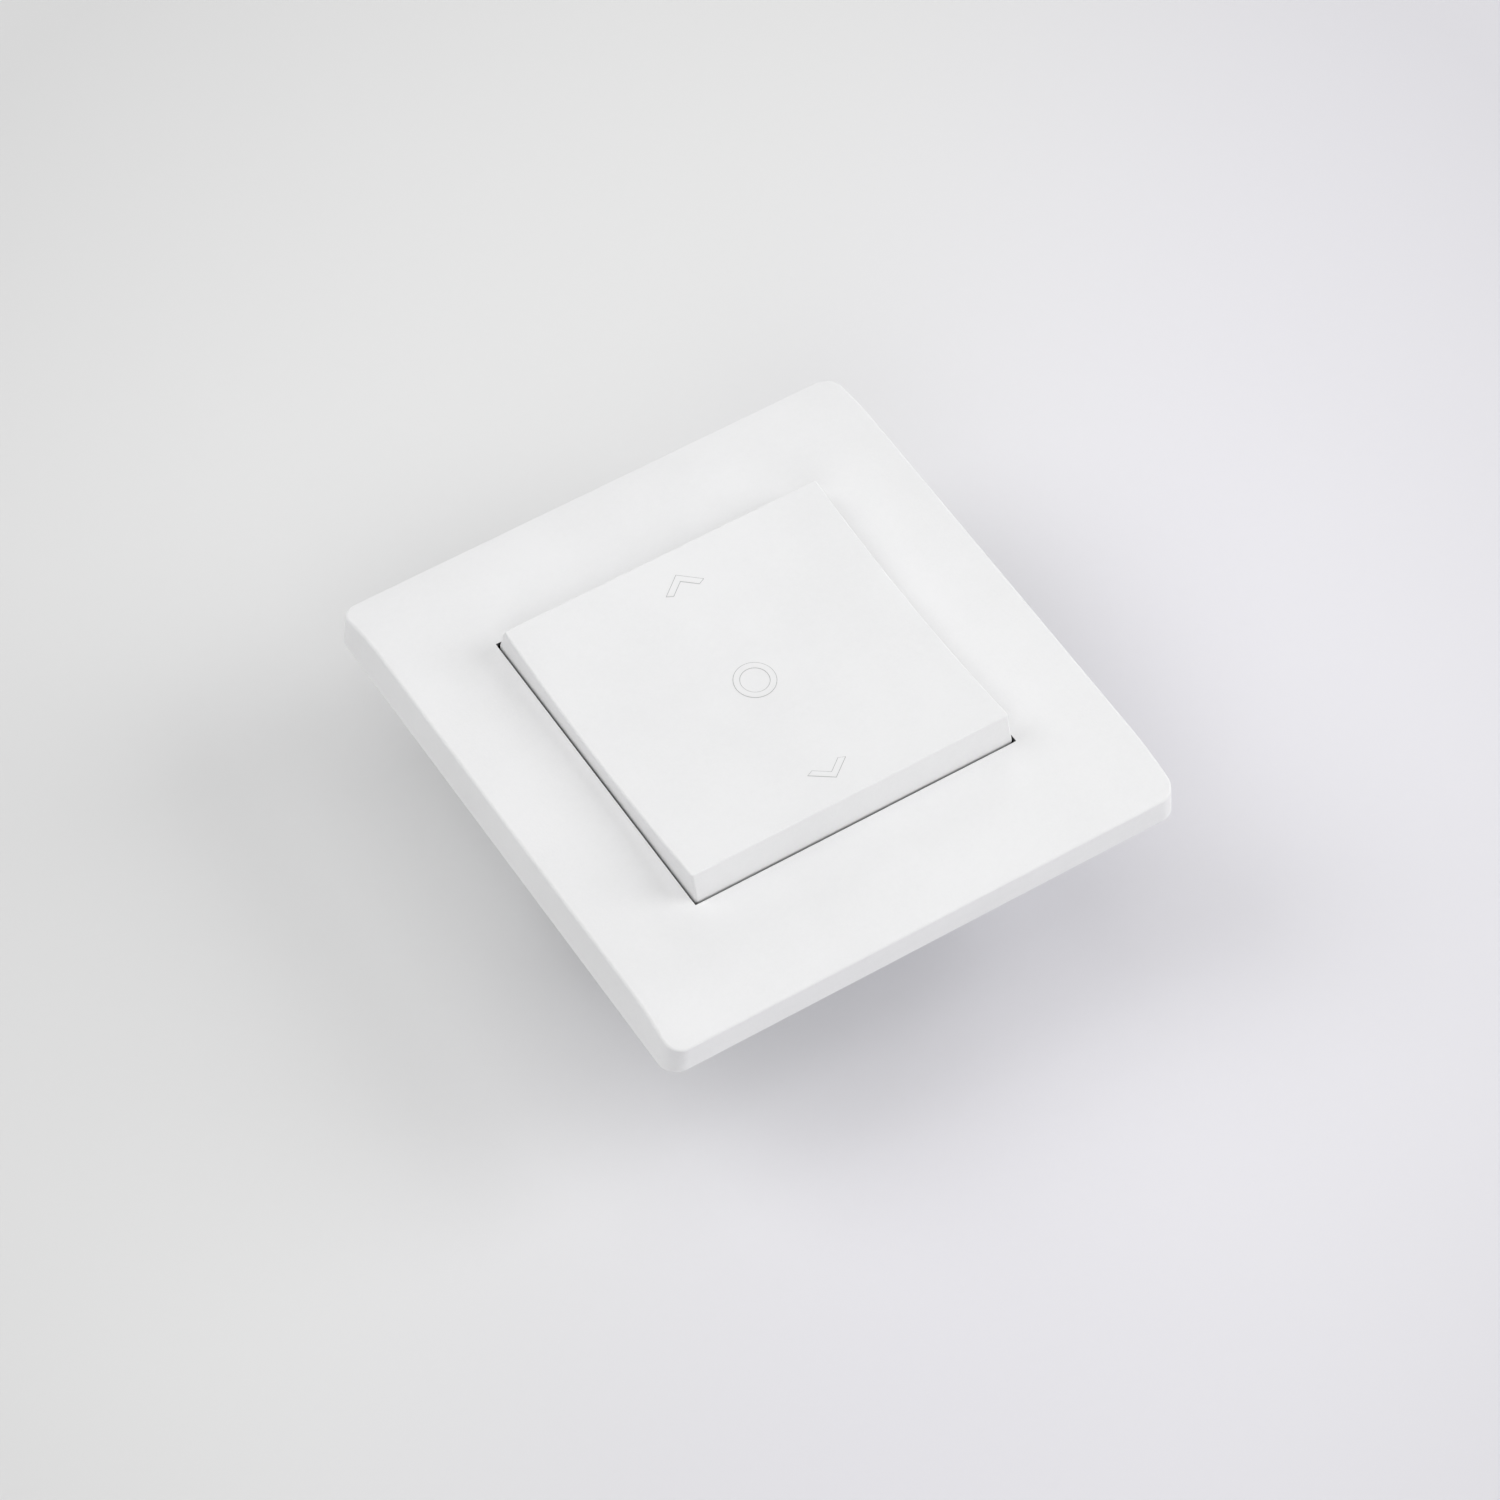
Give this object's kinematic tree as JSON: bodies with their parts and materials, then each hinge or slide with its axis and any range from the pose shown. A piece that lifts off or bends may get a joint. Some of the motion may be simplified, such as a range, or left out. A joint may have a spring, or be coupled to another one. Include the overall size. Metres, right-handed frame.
{
  "type": "awning switch",
  "caption": "Flush wall switch for an awning: arched white cover frame around a dished square rocker that tilts to raise or lower, on a screw-terminal insert for a wall box.",
  "frame": {"origin": "centre of the wall plane, midway between the box screw slots on the back of the support plate", "axes": "+Z out of the wall, +Y up the wall to the raise mark, +X to the right"},
  "size_m": [0.08, 0.085, 0.0349],
  "materials": {
    "white_plastic": "fine satin mould texture",
    "cradle_plastic": "plain moulded",
    "insert_cover_plastic": "plain moulded",
    "insert_plastic": "plain moulded",
    "plunger_plastic": "plain moulded",
    "zinc_steel": "zinc plated sheet",
    "screw_steel": "zinc plated",
    "terminal_brass": "stamped strip",
    "bridge_copper": "stamped strip",
    "silver_contact": "riveted contact",
    "spring_steel": "drawn wire"
  },
  "bodies": {
    "insert": {"cover_frame": "white_plastic", "support_plate": "zinc_steel", "insert_cover": "insert_cover_plastic", "insert_base": "insert_plastic", "plate_screws": "screw_steel", "terminal_screws": "screw_steel", "return_spring_up": "spring_steel", "return_spring_down": "spring_steel", "common_terminal": "terminal_brass", "common_fixed_tip": "silver_contact", "common_clamp": "screw_steel", "up_terminal": "terminal_brass", "up_fixed_tip": "silver_contact", "up_clamp": "screw_steel", "down_terminal": "terminal_brass", "down_fixed_tip": "silver_contact", "down_clamp": "screw_steel"},
    "rocker": {"rocker": "white_plastic", "rocker_cradle": "cradle_plastic"},
    "plunger_up": {"plunger_up": "plunger_plastic", "contact_bridge_up": "bridge_copper", "moving_tips_up": "silver_contact"},
    "plunger_down": {"plunger_down": "plunger_plastic", "contact_bridge_down": "bridge_copper", "moving_tips_down": "silver_contact"}
  },
  "joints": [
    {"name": "rocker_tilt", "type": "hinge", "parent": "insert", "child": "rocker", "pos_m": [0, 0, 0.004], "axis": [1, 0, 0], "range_deg": [-4.5, 4.5], "stiffness_Nm_per_rad": 0.8},
    {"name": "plunger_up_slide", "type": "slide", "parent": "insert", "child": "plunger_up", "axis": [0, 0, 1], "range_m": [-0.0009, 0.0009], "deforming": ["return_spring_up"]},
    {"name": "plunger_down_slide", "type": "slide", "parent": "insert", "child": "plunger_down", "axis": [0, 0, 1], "range_m": [-0.0009, 0.0009], "deforming": ["return_spring_down"]}
  ],
  "couplings": [
    {"joint": "plunger_up_slide", "follows": "rocker_tilt", "m_per_rad": 0.011},
    {"joint": "plunger_down_slide", "follows": "rocker_tilt", "m_per_rad": -0.011}
  ]
}
